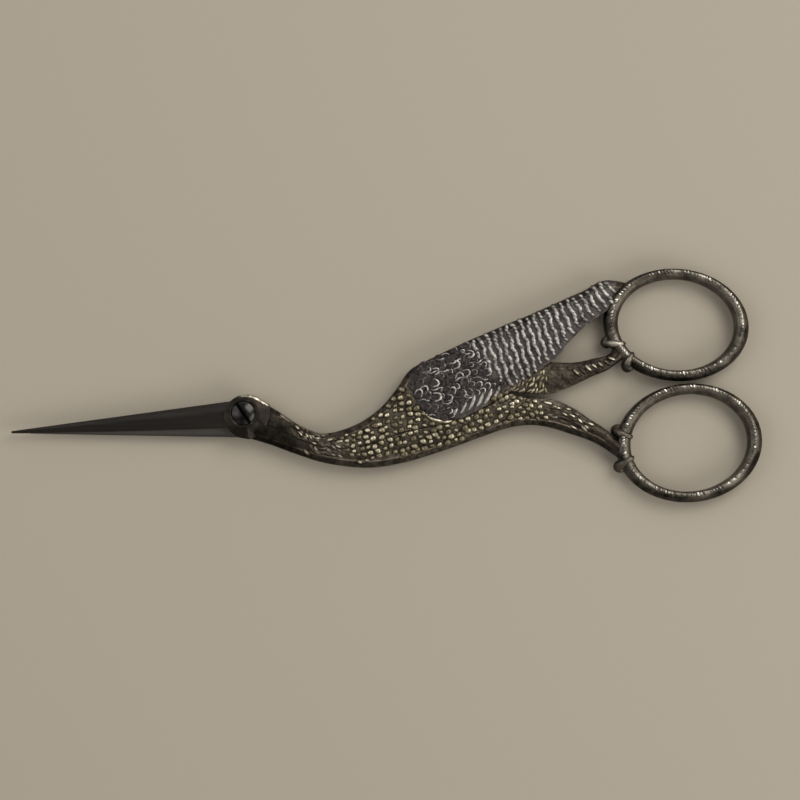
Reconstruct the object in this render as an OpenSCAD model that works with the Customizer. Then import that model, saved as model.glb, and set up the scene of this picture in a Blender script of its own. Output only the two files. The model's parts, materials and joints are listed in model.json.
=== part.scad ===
// Stork embroidery scissors, lying flat and closed: two forged halves and a pivot screw.
// The bird is split lengthwise. Round the pivot each half is half as thick and they lap;
// past the lap each is full thickness, and they part along a curve down neck and body.
// X runs from the blade tips to the finger rings, Z is up, and the origin is under the middle.

/* [Blades] */
// Pivot to the blade tips
blade_len = 35.6; // [28:0.2:44]
// Width of each blade at its root, spine to cutting edge
blade_w = 4.3; // [3.75:0.05:4.75]
// Width of the two closed blades together at their root
blades_w = 5.9; // [5.4:0.05:6.1]
// How far the tips lie below the pivot
tip_drop = 2.95; // [2.4:0.05:3.4]
// Width of each blade at its tip
tip_w = 0.35; // [0.2:0.05:0.8]
// Thickness of each blade at its root
blade_t = 1.7; // [1.2:0.05:1.9]
// Thickness of each blade at its tip
tip_t = 0.45; // [0.3:0.05:0.8]
// Thickness left along each cutting edge
edge_t = 0.15; // [0.1:0.01:0.25]
// Depth of the hollow ground into each inner face
hollow = 0.08; // [0.02:0.01:0.12]
// How far each cutting edge bellies out at mid length
edge_belly = 0.1; // [0:0.02:0.2]

/* [Head] */
// Radius of the round head
head_r = 3.35; // [3.2:0.05:3.6]
// Radius of the head's domed faces
dome_r = 10; // [7:0.5:16]
// Radius of the flat left in the middle of each dome
land_r = 2.3; // [2.1:0.1:2.6]

/* [Pivot screw] */
// Diameter of the screw's shank
screw_d = 2; // [1.6:0.1:2.4]
// Diameter of the screw's head, the bird's eye
eye_d = 3.6; // [3.2:0.1:4]
// Depth of the seat sunk into the near half
eye_depth = 0.8; // [0.5:0.05:1.1]
// Height of the eye's dome above the face
eye_rise = 0.45; // [0.2:0.05:0.7]
// Width of the screwdriver slot
slot_w = 0.5; // [0.3:0.05:0.8]
// Depth of the slot below the top of the dome
slot_depth = 0.6; // [0.3:0.05:0.8]
// Turn of the slot from the length of the scissors
slot_angle = -56; // [-90:1:90]

/* [Body] */
// Pivot to the crotch between the legs
body_len = 42.6; // [38:0.2:48]
// Thickness of head, neck and body
body_t = 4.2; // [3.8:0.1:5]
// Thickness left along the outline of the bird
rim_t = 1.9; // [1.4:0.1:2.4]
// Width of the bevel that follows the outline
bevel_w = 0.9; // [0.5:0.05:1.1]
// How far the breast hangs below the pivot
breast_drop = 8.4; // [7.8:0.1:9.6]
// How far the nape dips below the pivot
nape_dip = 3.1; // [2.6:0.1:3.6]

/* [Wing and tail] */
// Height of the folded wing above the body
wing_lift = 0.24; // [0.1:0.02:0.4]
// Number of flight feathers, each a slanting rib
feathers = 20; // [12:1:26]
// Depth of the steps between the flight feathers
feather_step = 0.2; // [0.1:0.02:0.3]
// Height of the rump above the pivot
rump_rise = 15; // [14:0.1:16]

/* [Legs and finger rings] */
// Crotch to the upper finger ring
upper_reach = 12.45; // [12:0.1:15]
// Crotch to the lower finger ring
lower_reach = 14.4; // [14:0.1:17]
// Length of the opening of the upper ring
upper_ring_l = 17.9; // [16:0.1:20]
// Height of the opening of the upper ring
upper_ring_h = 13.9; // [12.5:0.1:16]
// Length of the opening of the lower ring
lower_ring_l = 18; // [16:0.1:20]
// Height of the opening of the lower ring
lower_ring_h = 14.9; // [13:0.1:17]
// Width of the rings' band at their ends
band_side = 2.2; // [1.8:0.1:3]
// Width of the rings' band above and below
band_end = 1.65; // [1.3:0.05:2.2]
// Thickness of the rings
ring_t = 3; // [2.6:0.1:3.6]
// How far the ridge of the band leans outwards above and inwards below, as a share of its width
ridge_lean = 0.25; // [0:0.05:0.25]
// Slope of the rings, which lean together at their outer ends
ring_tilt = 5; // [0:0.5:8]
// Height at which the closed rings meet, above the pivot
ring_meet = 4.7; // [4.2:0.1:5.2]
// Radius of the toes that grip the rings
toe_r = 0.95; // [0.7:0.05:1.3]
// Thickness of the legs
leg_t = 2.9; // [2.2:0.1:3.4]

/* [Fits] */
// Gap between the inner faces of the two halves
lap_gap = 0.04; // [0.02:0.01:0.1]
// Gap at the wall round the lap
wall_gap = 0.08; // [0.04:0.01:0.15]
// Gap across the parting curve
parting_gap = 0.12; // [0.08:0.01:0.2]
// Clearance of the shank in the near half, on the radius
shank_gap = 0.04; // [0.02:0.01:0.1]
// Clearance of the thread in the far half, on the radius
thread_gap = 0.01; // [0:0.005:0.03]
// Clearance round the screw's head, on the radius
seat_gap = 0.08; // [0.04:0.01:0.15]
// Gap between the closed finger rings
ring_gap = 0.38; // [0.2:0.02:0.8]

/* [Hidden] */
$fn = 64;

// Outlines are points in mm from the pivot, drawn at these sizes and stretched to the ones above
drawn = [42.6, 8.4, 3.1, 15];   // body_len, breast_drop, nape_dip, rump_rise
function along(x) = x * body_len / drawn[0];
function below(y) = y * breast_drop / drawn[1];
function above(y) = y < 0 ? y * nape_dip / drawn[2] : y * rump_rise / drawn[3];
function behind(x) = body_len + x;

// Parting curve between the halves, from inside the lap to the crotch
PARTING = [[3, -1.6], [6.5, -3], [10, -4.65], [14, -5.4], [18.5, -4.95], [22.6, -3.55],
    [26, -2.55], [29.5, -1.95], [33.2, -0.95], [37, 0.9], [40.4, 2.95], [42.6, 2.45]];
// Throat, breast and belly, a point for each of the parting curve
BREAST = [[0.3, -3.7], [4.3, -4.93], [8.3, -6.4], [13, -7.78], [19, -8.4], [24.4, -7.63],
    [28.9, -6.33], [33, -4.9], [36.6, -3.57], [40, -2.42], [42.7, -1.92], [45, -1.92]];
// Nape, shoulder and back, a point for each of the parting curve but the last
NAPE = [[2.2, 2], [5.2, 0.3], [8.4, -1.8], [12.2, -3.12], [16.8, -1.95], [20.6, 0.5],
    [23.2, 3.45], [25.5, 6.6], [29.3, 8.65], [33.8, 10.8], [37.6, 12.45]];
// Rest of the wing, and the tail past the crotch, as [upper x, upper y, lower x, lower y]
RUMP = [[-2, 13.75, 0.6, 5.5], [1.1, 15, 3.4, 7.2]];
TAIL = [[3.9, 16.25, 5.6, 8.9], [6.6, 17.45, 7.7, 11.35], [9.5, 18.75, 9.7, 13.3],
    [12.7, 20.3, 11.9, 14.95]];
// Legs past the crotch, in the same order
LOWER_LEG = [[4.6, 2.05, 4.9, -2.4], [7.7, 0.85, 7.7, -3.3], [10.4, -0.95, 10.3, -4.2],
    [12.8, -2.5, 12.6, -5.4]];
UPPER_LEG = [[-6.6, 5.2, -4.4, 3.4], [-1.4, 6.9, -0.6, 3.15], [2.2, 7.9, 2.3, 2.9],
    [5.3, 7.75, 4.7, 3.05], [8.2, 7.75, 7.6, 4.1], [11, 8.35, 10.4, 5.45],
    [13.2, 8.9, 13.3, 6.7]];
// Angles round the rings where the legs, the tail and the toes meet them
LOWER_LEG_AT = [198, 176];
UPPER_LEG_AT = [209, 224];
TAIL_AT = [134, 164];
LOWER_TOES_AT = [162, 197];
UPPER_TOES_AT = [204, 233];
// Half of the rings' section, as shares of the band's width and of half its thickness
BAND = [[0, 0.5], [0.2, 0.9], [0.5, 1], [0.8, 0.85], [1, 0.4]];

half_t = body_t / 2;
head_at = [0.4, -0.55];
throat_at = [4.3, -2];
throat_r = head_r - 0.8;
lap_margin = 0.07;   // of the lap past the round of the head
lap_r = head_r + norm(head_at) + lap_margin;
root = [head_at.x, -0.82];   // middle of the closed blades where they start, inside the head
screw_inset = 0.05;
hidden_end = 0.7;    // of its thickness an arm keeps at its first row, inside the lap
ring_end = 0.8;      // of its thickness a leg keeps where it ends in a ring's band
thigh_swell = 1.05;  // of the upper leg's thickness past the lower leg's

function mix(a, b, t) = a + (b - a) * t;
function ramp(t) = let (c = min(max(t, 0), 1)) c * c * (3 - 2 * c);

// Smooth curve through rows of numbers, where u = 0 is the first row and u = 1 the next
function curve(rows, u) = let (
        n = len(rows) - 1, i = min(floor(u), n - 1), f = u - i,
        a = rows[max(i - 1, 0)], b = rows[i], c = rows[i + 1], d = rows[min(i + 2, n)])
    b + (c - a) * f / 2 + (2 * a - 5 * b + 4 * c - d) * f * f / 2
        + (3 * b - 3 * c + d - a) * f * f * f / 2;

// Point of the parting curve at row u, between the halves
function parting(u) = let (p = curve(PARTING, u)) [along(p.x), p.y];

// Closed solid through sections with the same number of points. A loop joins its own ends.
// Seen along the run, a section goes round clockwise, or the other way with flip.
module skin(sections, loop = false, flip = false) {
    m = len(sections);
    n = len(sections[0]);
    points = [for (s = sections) each flip ? [for (i = [n - 1 : -1 : 0]) s[i]] : s];
    sides = [for (i = [0 : loop ? m - 1 : m - 2], j = [0 : n - 1])
        let (p = i * n, q = (i + 1) % m * n, k = (j + 1) % n)
        each [[p + j, p + k, q + k], [p + j, q + k, q + j]]];
    ends = [[for (j = [n - 1 : -1 : 0]) j], [for (j = [0 : n - 1]) (m - 1) * n + j]];
    polyhedron(points, concat(sides, loop ? [] : ends));
}

// Section between two plan points, where faces holds [share of the way, height] of one face
function section(inner, outer, faces) = let (
        top = [for (f = faces) [each mix(inner, outer, f[0]), f[1]]])
    concat(top, [for (i = [len(top) - 1 : -1 : 0]) [top[i].x, top[i].y, -top[i].z]]);

// Rows of an arm are [outer x, outer y, inner x, inner y, inner height, outer height, bulge]
function outer(row) = [row[0], row[1]];
function inner(row) = [row[2], row[3]];
function height(row, t) = mix(row[4], row[5], t) + row[6] * 4 * t * (1 - t);
function bevel_at(row) = 1 - bevel_w / norm(outer(row) - inner(row));

// An arm with crowned faces and a bevel along its outer side
module arm(rows, steps, stops, flip = false) {
    skin([for (i = [0 : steps]) let (row = curve(rows, (len(rows) - 1) * i / steps))
        section(inner(row), outer(row), concat(
            [for (t = stops) [bevel_at(row) * t, height(row, t)]], [[1, rim_t / 2]]))],
        flip = flip);
}

// One blade in its layer, 1 above the middle plane and -1 below, with a hollow inner face
function blade_section(side, s) = let (
        x = mix(root.x, -blade_len, s),
        spine = mix(root.y + side * blades_w / 2, -tip_drop + side * tip_w / 2, s),
        edge = mix(root.y + side * (blades_w / 2 - blade_w), -tip_drop - side * tip_w / 2, s)
            - side * edge_belly * 4 * s * (1 - s),
        t = mix(blade_t, tip_t, s), h = hollow * (1 - 0.7 * s))
    [for (p = [[0, edge_t], [0.5, 0.95 * t], [0.72, t], [1, 0.75 * t],
            [1, 0], [0.75, 0.75 * h], [0.5, h], [0.25, 0.75 * h], [0, 0]])
        [x, mix(edge, spine, p[0]), side * (lap_gap / 2 + p[1])]];

module blade(side) {
    steps = 12;
    skin([for (i = [0 : steps]) blade_section(side, i / steps)], flip = true);
}

// The round head in one layer, domed outside and cut to the circle of the lap
module head(side) {
    mirror([0, 0, side > 0 ? 0 : 1]) intersection() {
        translate([0, 0, lap_gap / 2]) linear_extrude(half_t - lap_gap / 2) hull() {
            translate(head_at) circle(head_r);
            translate(throat_at) circle(throat_r);
        }
        cylinder(r = lap_r, h = body_t, center = true);
        translate([0, 0, half_t + land_r * land_r / (2 * dome_r) - dome_r]) sphere(dome_r);
    }
}

// What the other half's head needs clear in an arm
module lap_clear(side) {
    translate([0, 0, side * (lap_gap / 2 - body_t)])
        cylinder(r = lap_r + wall_gap, h = 2 * body_t, center = true);
}

// Finger rings, as [centre, half length and half height of the opening, tilt]
upper_ring = [[behind(upper_reach) + upper_ring_l / 2 + band_side,
    ring_meet + ring_gap / 2 + upper_ring_h / 2 + band_end],
    upper_ring_l / 2, upper_ring_h / 2, -ring_tilt];
lower_ring = [[behind(lower_reach) + lower_ring_l / 2 + band_side,
    ring_meet - ring_gap / 2 - lower_ring_h / 2 - band_end],
    lower_ring_l / 2, lower_ring_h / 2, ring_tilt];
ring_steps = 56;

// Plan point of a ring at angle a, where share is 0 at the opening and 1 at the outside
function on_ring(ring, a, share) = let (
        x = (ring[1] + share * band_side) * cos(a), y = (ring[2] + share * band_end) * sin(a),
        c = cos(ring[3]), s = sin(ring[3]))
    ring[0] + [x * c - y * s, x * s + y * c];

module finger_ring(ring) {
    skin([for (i = [0 : ring_steps - 1]) let (a = 360 * i / ring_steps)
        section(on_ring(ring, a, 0), on_ring(ring, a, 1), [for (p = BAND)
            [p[0] + ridge_lean * sin(a) * 4 * p[0] * (1 - p[0]), p[1] * ring_t / 2]])],
        loop = true, flip = true);
}

// Last row of an arm, which ends inside the band
function ring_row(ring, at, faces) =
    [each on_ring(ring, at[0], 0.5), each on_ring(ring, at[1], 0.5), each faces];

module toes(ring, angles) {
    for (a = angles) translate(on_ring(ring, a, 1)) sphere(toe_r);
}

// Faces of the arms, as [height inside, height outside, bulge between]
body_face = [0.97 * half_t, 0.72 * half_t, 0.06 * half_t];
leg_face = [0.34 * leg_t, 0.4 * leg_t, 0.12 * leg_t];
wing_face = [0.965 * (half_t - wing_lift), 0.92 * (half_t - wing_lift), 0.04 * half_t];
tail_face = [0.7 * half_t, 0.62 * half_t, 0.04 * half_t];
tail_end = 0.6;      // of its thickness the tail keeps where it ends in the ring's band

// Throat, breast, belly and lower leg, which thins out from row thin_from in four rows
thin_from = 8;
module near_arm() {
    last = len(PARTING) - 1;
    rows = concat(
        [for (i = [0 : last]) [along(BREAST[i].x), below(BREAST[i].y), along(PARTING[i].x),
            PARTING[i].y - parting_gap / 2, each (i == 0 ? hidden_end : 1)
            * mix(body_face, leg_face, ramp((i - thin_from) / 4))]],
        [for (p = LOWER_LEG) [behind(p[2]), p[3], behind(p[0]), p[1], each leg_face]],
        [ring_row(lower_ring, LOWER_LEG_AT, leg_face * ring_end)]);
    arm(rows, 56, [0, 0.3, 0.6, 0.85, 1], flip = true);
}

// Thigh and upper leg
module far_leg() {
    rows = concat(
        [for (p = UPPER_LEG)
            [behind(p[0]), p[1], behind(p[2]), p[3], each leg_face * thigh_swell]],
        [ring_row(upper_ring, UPPER_LEG_AT, leg_face * ring_end)]);
    arm(rows, 28, [0, 0.3, 0.6, 1]);
}

// Nape, wing and tail. The wing rises at the shoulder, and past the coverts its face is a
// row of steps that slant with the sections, one for each flight feather.
wing_from = 7;
feathers_from = 9;
function wing_rise(u, t) = wing_lift * ramp((u - wing_from) / 0.3 + 0.5 + 4 * t * (1 - t));
function feather(u, pitch) = let (f = (u - feathers_from) / pitch)
    f < 0 ? 0 : (f - floor(f) - 1) * feather_step;
module far_arm() {
    neck_rows = [for (i = [0 : len(NAPE) - 1]) [along(NAPE[i].x), above(NAPE[i].y),
        along(PARTING[i].x), PARTING[i].y + parting_gap / 2,
        each (i == 0 ? hidden_end : 1)
        * mix(body_face, wing_face, ramp((i - wing_from) / 2 + 1))]];
    rows = concat(neck_rows,
        [for (p = RUMP) [behind(p[0]), above(p[1]), behind(p[2]), p[3], each wing_face]],
        [for (i = [0 : 3]) [behind(TAIL[i][0]), above(TAIL[i][1]), behind(TAIL[i][2]),
            TAIL[i][3], each mix(wing_face, tail_face, i / 3)]],
        [ring_row(upper_ring, TAIL_AT, tail_face * tail_end)]);
    last = len(rows) - 1;
    feathers_to = last - 0.6;
    pitch = (feathers_to - feathers_from) / feathers;
    us = concat([for (u = [0 : 0.2 : wing_from - 0.6]) u],
        [for (u = [wing_from - 0.45 : 0.15 : wing_from + 0.3]) u],
        [for (u = [wing_from + 0.6 : 0.35 : feathers_from - 0.05]) u],
        [for (k = [0 : feathers - 1], f = [0.03, 0.5, 0.9]) feathers_from + (k + f) * pitch],
        [feathers_to + 0.2, last]);
    stops = [0, 0.07, 0.25, 0.5, 0.75, 1];
    parted = len(NAPE) - 1;   // the last row on the parting curve
    skin([for (u = us) let (row = curve(rows, u),
            low = u < parted ? parting(u) + [0, parting_gap / 2] : inner(row))
        section(low, outer(row), concat(
            [for (t = stops) [bevel_at(row) * t, height(row, t)
                + (t == 0 ? 0 : wing_rise(u, t) + (u < feathers_to ? feather(u, pitch) : 0))]],
            [[1, rim_t / 2]]))]);
}

module near_half() color("#6f6248") difference() {
    union() {
        blade(1);
        head(1);
        difference() {
            near_arm();
            lap_clear(1);
        }
        finger_ring(lower_ring);
        toes(lower_ring, LOWER_TOES_AT);
    }
    cylinder(r = screw_d / 2 + shank_gap, h = 2 * body_t, center = true);
    translate([0, 0, half_t - eye_depth]) cylinder(r = eye_d / 2 + seat_gap, h = body_t);
}

module far_half() color("#77736a") difference() {
    union() {
        blade(-1);
        head(-1);
        difference() {
            far_arm();
            lap_clear(-1);
        }
        far_leg();
        finger_ring(upper_ring);
        toes(upper_ring, UPPER_TOES_AT);
    }
    cylinder(r = screw_d / 2 + thread_gap, h = 2 * body_t, center = true);
}

module pivot_screw() color("#a3a5a6") difference() {
    seat = half_t - eye_depth;
    r = eye_d / 2;
    dome = (r * r + eye_rise * eye_rise) / (2 * eye_rise);
    union() {
        translate([0, 0, screw_inset - half_t])
            cylinder(d = screw_d, h = half_t + seat - screw_inset + eye_depth / 2);
        intersection() {
            translate([0, 0, seat]) cylinder(r = r, h = eye_depth + eye_rise);
            translate([0, 0, half_t + eye_rise - dome]) sphere(dome);
        }
    }
    translate([0, 0, half_t + eye_rise]) rotate(slot_angle)
        cube([2 * eye_d, slot_w, 2 * slot_depth], center = true);
}

// Puts the origin under the middle of the whole, at the height of its lowest face
ring_angles = [for (i = [0 : ring_steps - 1]) 360 * i / ring_steps];
right = max([for (a = ring_angles) on_ring(lower_ring, a, 1).x]);
top = max([for (a = ring_angles) on_ring(upper_ring, a, 1).y]);
bottom = min([for (a = ring_angles) on_ring(lower_ring, a, 1).y]);
module place() {
    translate([(blade_len - right) / 2, -(top + bottom) / 2, half_t]) children();
}

place() near_half();
place() far_half();
place() pivot_screw();
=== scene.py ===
"""Looks of the stork embroidery scissors: ground blades, a bronzed bird and a silvered wing."""
import json
import math

import bmesh
import bpy
import numpy as np
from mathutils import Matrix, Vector
from mathutils.bvhtree import BVHTree


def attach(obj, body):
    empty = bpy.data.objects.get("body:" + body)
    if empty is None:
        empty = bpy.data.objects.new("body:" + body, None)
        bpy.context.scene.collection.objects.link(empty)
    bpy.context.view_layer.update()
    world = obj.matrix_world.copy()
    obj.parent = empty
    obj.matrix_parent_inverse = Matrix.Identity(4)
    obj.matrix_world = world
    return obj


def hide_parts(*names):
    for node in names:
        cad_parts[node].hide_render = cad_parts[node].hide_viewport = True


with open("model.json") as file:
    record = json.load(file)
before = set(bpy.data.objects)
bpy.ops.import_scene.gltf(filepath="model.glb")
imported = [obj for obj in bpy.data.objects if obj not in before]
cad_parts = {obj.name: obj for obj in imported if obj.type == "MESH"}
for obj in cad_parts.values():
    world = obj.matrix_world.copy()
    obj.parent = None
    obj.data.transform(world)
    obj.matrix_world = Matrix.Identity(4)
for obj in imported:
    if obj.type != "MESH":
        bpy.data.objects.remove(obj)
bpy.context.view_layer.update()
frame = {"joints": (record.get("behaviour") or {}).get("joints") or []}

MM = 0.001
# The drawing below is in mm from the pivot's middle, as the part's own drawing is
PIVOT = np.array(frame["joints"][0]["pos_m"]) / MM

# Sizes and outlines, the same as the solids have
HALF_T, RIM, BEVEL = 2.1, 0.95, 0.95
LEG_T, RING_T = 2.9, 3.0
BLADE_LEN, BLADE_W, BLADES_W = 35.6, 4.3, 5.9
TIP_DROP, TIP_W, BLADE_T, TIP_T, EDGE_T, HOLLOW, BELLY = 2.95, 0.35, 1.7, 0.45, 0.15, 0.08, 0.1
SPINE_FLAT, SPINE_CHAMFER = 0.1, 0.26
HEAD_R, DOME_R, LAND_R = 3.35, 10.0, 2.3
SCREW_R, EYE_R, EYE_DEPTH, EYE_RISE = 1.0, 1.8, 0.8, 0.45
SLOT_W, SLOT_DEPTH, SLOT_TURN = 0.5, 0.6, math.radians(-56)
# Radii of the screw's seat and of its two holes
SEAT_R, SHANK_HOLE_R, THREAD_HOLE_R = EYE_R + 0.08, SCREW_R + 0.04, SCREW_R + 0.01
LAP, LAP_PLAY, PARTING_GAP = 0.04, 0.04, 0.12
HEAD_AT, THROAT_AT = np.array([0.4, -0.55]), np.array([4.3, -2.0])
THROAT_R = HEAD_R - 0.8
LAP_R = HEAD_R + np.linalg.norm(HEAD_AT) + 0.07
ROOT = np.array([0.4, -0.82])
CROTCH = 42.6

# The line that parts the halves, and the outer edges along the breast and along the nape
PARTING = [[3, -1.6], [6.5, -3], [10, -4.65], [14, -5.4], [18.5, -4.95], [22.6, -3.55],
           [26, -2.55], [29.5, -1.95], [33.2, -0.95], [37, 0.9], [40.4, 2.95], [42.6, 2.45]]
BREAST = [[0.3, -3.7], [4.3, -4.93], [8.3, -6.4], [13, -7.78], [19, -8.4], [24.4, -7.63],
          [28.9, -6.33], [33, -4.9], [36.6, -3.57], [40, -2.42], [42.7, -1.92], [45, -1.92]]
NAPE = [[2.2, 2], [5.2, 0.3], [8.4, -1.8], [12.2, -3.12], [16.8, -1.95], [20.6, 0.5],
        [23.2, 3.45], [25.5, 6.6], [29.3, 8.65], [33.8, 10.8], [37.6, 12.45]]
# Rows behind the crotch, with x counted from it: outer edge and inner edge
RUMP = [[-2, 13.75, 0.6, 5.5], [1.1, 15, 3.4, 7.2]]
TAIL = [[3.9, 16.25, 5.6, 8.9], [6.6, 17.45, 7.7, 11.35], [9.5, 18.75, 9.7, 13.3],
        [12.7, 20.3, 11.9, 14.95]]
LOWER_LEG = [[4.9, -2.4, 4.6, 2.05], [7.7, -3.3, 7.7, 0.85], [10.3, -4.2, 10.4, -0.95],
             [12.6, -5.4, 12.8, -2.5]]
UPPER_LEG = [[-6.6, 5.2, -4.4, 3.4], [-1.4, 6.9, -0.6, 3.15], [2.2, 7.9, 2.3, 2.9],
             [5.3, 7.75, 4.7, 3.05], [8.2, 7.75, 7.6, 4.1], [11, 8.35, 10.4, 5.45],
             [13.2, 8.9, 13.3, 6.7]]
# Finger rings: centre, half length and half height of the opening, tilt in degrees
UPPER_RING = (np.array([66.2, 13.49]), 8.95, 6.95, -5)
LOWER_RING = (np.array([68.2, -4.59]), 9.0, 7.45, 5)
BAND_SIDE, BAND_END, RIDGE_LEAN = 2.2, 1.65, 0.25
# The wing's outline: the coverts' front, the lower edge, the flight feathers' end and the back
WING = [[25.4, 7.6], [25.2, 4.3], [25.9, 2.8], [26.7, 1.2], [28.2, -0.5], [29.3, -1.05],
        [30.8, -1.35], [32.1, -1.2], [34.1, -0.9], [35.6, -0.15], [36.7, 0.8], [38.2, 3.1],
        [40.5, 4.15], [42.2, 4.9], [47.7, 7.85], [49.5, 9.8], [51.6, 12.2], [55.6, 14.8],
        [57.5, 21.5], [38, 14.6]]
UP_DOWN = (1, -1)


def mix(a, b, t):
    return a + (b - a) * t


def ramp(t):
    t = np.clip(t, 0, 1)
    return t * t * (3 - 2 * t)


def heading(angle):
    return np.array([math.cos(angle), math.sin(angle)])


def around(count):
    """Evenly spaced angles of one full turn."""
    return np.linspace(0, 2 * math.pi, count, endpoint=False)


def curve(rows, u):
    """Smooth curve through rows of numbers at one or more u, where u = 0 is the first row."""
    rows, u = np.asarray(rows, float), np.atleast_1d(np.asarray(u, float))
    n = len(rows) - 1
    i = np.clip(np.floor(u).astype(int), 0, n - 1)
    f = (u - i)[:, None]
    a, b, c, d = rows[np.maximum(i - 1, 0)], rows[i], rows[i + 1], rows[np.minimum(i + 2, n)]
    return (b + (c - a) * f / 2 + (2 * a - 5 * b + 4 * c - d) * f**2 / 2
            + (3 * b - 3 * c + d - a) * f**3 / 2)


def inside_by(polygon, points):
    """Distance from each point to the polygon's edge, positive inside."""
    p, q = np.array(polygon, float), np.roll(np.array(polygon, float), -1, 0)
    x = points[:, None, :]
    d = q - p
    t = np.clip(((x - p) * d).sum(2) / (d * d).sum(1), 0, 1)
    far = np.linalg.norm(x - (p + d * t[:, :, None]), axis=2).min(1)
    cross = (p[:, 1] > x[:, :, 1]) != (q[:, 1] > x[:, :, 1])
    with np.errstate(divide="ignore", invalid="ignore"):
        at = p[:, 0] + (x[:, :, 1] - p[:, 1]) * d[:, 0] / d[:, 1]
    return np.where((cross & (x[:, :, 0] < at)).sum(1) % 2 == 1, far, -far)


def on_wing_by(p):
    return inside_by(WING, p[None])[0]


def away_from(line, p):
    """Distance from a point to the nearest point of a finely divided line."""
    return np.linalg.norm(line - p, axis=1).min()


# Materials
# Scales of the noise in cast metal and in the wheel's lines, in waves a metre
GRAIN_WAVES, CAST_WAVES, STREAK_WAVES = 5200.0, 1900.0, 1400.0


def feed(tree, made, inputs):
    """Sets a node's inputs, each to a number, a colour or another node's output."""
    for key, value in inputs.items():
        if isinstance(value, bpy.types.NodeSocket):
            tree.links.new(value, made.inputs[key])
        else:
            made.inputs[key].default_value = value


def node(tree, kind, inputs=None, **settings):
    made = tree.nodes.new(kind)
    for key, value in settings.items():
        setattr(made, key, value)
    feed(tree, made, inputs or {})
    return made


def maths(tree, operation, *values, **settings):
    return node(tree, "ShaderNodeMath", dict(enumerate(values)), operation=operation,
                **settings).outputs[0]


def spread(tree, value, low, high, span=(0.0, 1.0), **settings):
    """Moves a value from its own span to the one between low and high."""
    return node(tree, "ShaderNodeMapRange", {"Value": value, "From Min": span[0],
                "From Max": span[1], "To Min": low, "To Max": high}, **settings).outputs["Result"]


def noise(tree, where, scale, detail, rough=0.5):
    return node(tree, "ShaderNodeTexNoise", {"Vector": where, "Scale": scale, "Detail": detail,
                "Roughness": rough}).outputs["Fac"]


def blend(tree, share, first, second):
    return node(tree, "ShaderNodeMix", {0: share, 6: first, 7: second},
                data_type="RGBA").outputs[2]


def group(name, inputs, outputs, family="Shader"):
    """An empty node group with named sockets, what it is given, and its end node."""
    tree = bpy.data.node_groups.new(name, family + "NodeTree")
    for label, kind, value in inputs:
        made = tree.interface.new_socket(label, in_out="INPUT", socket_type="NodeSocket" + kind)
        if value is not None:
            made.default_value = value
    for label, kind in outputs:
        tree.interface.new_socket(label, in_out="OUTPUT", socket_type="NodeSocket" + kind)
    return tree, tree.nodes.new("NodeGroupInput").outputs, tree.nodes.new("NodeGroupOutput")


def patina_group():
    """Antique finish: dark in the hollows, rubbed bright where the wear mark is high, blotched all
    over. The marks also carry painted highlight, and below zero painted shade.
    """
    black, white = (0, 0, 0, 1), (1, 1, 1, 1)
    tree, given, out = group("antique_patina", [
        ("Vector", "Vector", None), ("Dark", "Color", black), ("Tint", "Color", black),
        ("Bright", "Color", white), ("Worn", "Float", 0.5), ("Rubbed", "Float", 0.5),
        ("Blotch size", "Float", 900.0)],
        [("Color", "Color"), ("Bare", "Float"), ("Height", "Float")])
    where, worn = given["Vector"], given["Worn"]
    uneven = maths(tree, "SUBTRACT", noise(tree, where, given["Blotch size"], 4.0, 0.6), 0.5)
    bare = spread(tree, maths(tree, "MULTIPLY_ADD", uneven, 1.5, worn), 0.0, 1.0,
                  (maths(tree, "SUBTRACT", 1.0, given["Rubbed"]), 1.25),
                  interpolation_type="SMOOTHSTEP")
    blotched = maths(tree, "MULTIPLY_ADD", uneven, 2.0, 0.42)
    raised = maths(tree, "MULTIPLY_ADD", worn, 0.5, blotched, use_clamp=True)
    tone = blend(tree, raised, given["Dark"], given["Tint"])
    grain = noise(tree, where, GRAIN_WAVES, 3.0, 0.55)
    cast = noise(tree, where, CAST_WAVES, 2.0)
    feed(tree, out, {"Color": blend(tree, bare, tone, given["Bright"]), "Bare": bare,
                     "Height": maths(tree, "MULTIPLY_ADD", grain, 0.35, cast)})
    return tree


def grinding_group():
    """Fine lines left by the wheel, drawn out along X, and the broader streaks among them."""
    tree, given, out = group("wheel_lines", [
        ("Vector", "Vector", None), ("Fineness", "Float", 9000.0), ("Draw", "Float", 0.03)],
        [("Height", "Float"), ("Streak", "Float")])
    stretch = node(tree, "ShaderNodeCombineXYZ", {"X": given["Draw"], "Y": 1.0, "Z": 1.0})
    drawn = node(tree, "ShaderNodeVectorMath", {0: given["Vector"], 1: stretch.outputs[0]},
                 operation="MULTIPLY").outputs[0]
    feed(tree, out, {"Height": noise(tree, drawn, given["Fineness"], 3.0, 0.6),
                     "Streak": noise(tree, drawn, STREAK_WAVES, 2.0)})
    return tree


PATINA, WHEEL = patina_group(), grinding_group()
# Stretches along X where the metal darkens, towards the head and down the leg, and what is left of
# its brightness
HEAD_DARKENING = ((PIVOT[0] + 6.0) * MM, (PIVOT[0] + 14.5) * MM)
LEG_DARKENING = ((PIVOT[0] + 42) * MM, (PIVOT[0] + 50) * MM)
HEAD_LEFT, LEG_LEFT = 0.26, 0.6
# Depth of the relief that cast and ground metal show
CAST_DEPTH, GROUND_DEPTH = 0.22 * MM, 0.02 * MM


def blank(name):
    """A new material, its tree, its shader and the piece's own coordinates."""
    made = bpy.data.materials.new(name)
    made.use_nodes = True
    tree = made.node_tree
    place = tree.nodes.new("ShaderNodeTexCoord").outputs["Object"]
    return made, tree, tree.nodes["Principled BSDF"], place


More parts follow.
